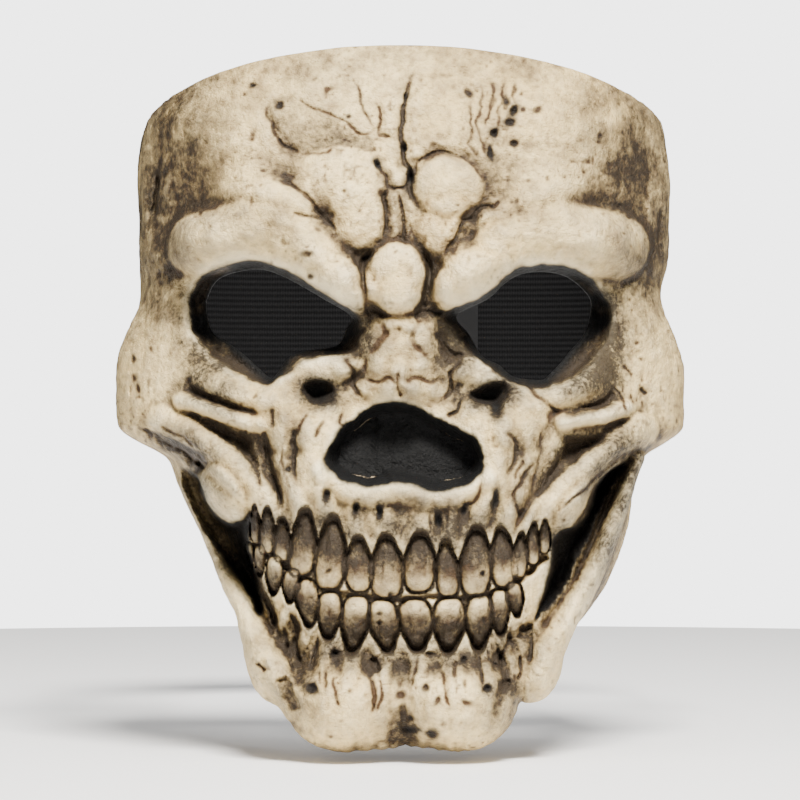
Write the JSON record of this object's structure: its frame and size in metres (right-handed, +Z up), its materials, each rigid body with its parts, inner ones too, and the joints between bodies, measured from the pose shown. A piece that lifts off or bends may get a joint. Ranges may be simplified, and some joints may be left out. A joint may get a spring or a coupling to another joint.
{
  "type": "latex halloween mask",
  "caption": "Hollow latex skull face mask with eye and breathing holes, inner foam pads and a riveted elastic head strap with a sliding buckle.",
  "frame": {"origin": "midway between the temple walls, 6 mm below the strap's rivet axis and level with the top of the nasal bridge", "axes": "+Z up towards the forehead rim, the face looks along -Y, +X to the right of a viewer in front"},
  "size_m": [0.1718, 0.2271, 0.208],
  "materials": {
    "latex": "satin bone-coloured painted latex",
    "foam": "open-cell foam",
    "canvas": "woven reinforcement tape",
    "rivet_metal": "nickel-plated, worn",
    "tab_vinyl": "grained vinyl",
    "eyelet_metal": "plated brass",
    "elastic": "ribbed knitted elastic",
    "buckle_plastic": "moulded, fine texture"
  },
  "bodies": {
    "mask": {"face_shell": "latex", "forehead_pad": "foam", "cheek_pad_left": "foam", "cheek_pad_right": "foam", "chin_pad": "foam", "temple_patch_left": "canvas", "temple_patch_right": "canvas", "rivet_left": "rivet_metal", "rivet_right": "rivet_metal", "rivet_washer_left": "rivet_metal", "rivet_washer_right": "rivet_metal"},
    "strap": {"strap_tab_left": "tab_vinyl", "strap_tab_right": "tab_vinyl", "eyelet_left": "eyelet_metal", "eyelet_right": "eyelet_metal", "elastic_left": "elastic", "elastic_right": "elastic", "strap_ring": "buckle_plastic"},
    "slider": {"strap_slider": "buckle_plastic"}
  },
  "joints": [
    {"name": "strap_swing", "type": "hinge", "parent": "mask", "child": "strap", "pos_m": [0, 0, 0.006], "axis": [1, 0, 0], "range_deg": [-45, 60]},
    {"name": "slider_slide", "type": "slide", "parent": "strap", "child": "slider", "axis": [1, 0, 0], "range_m": [-0.007, 0.007]}
  ]
}
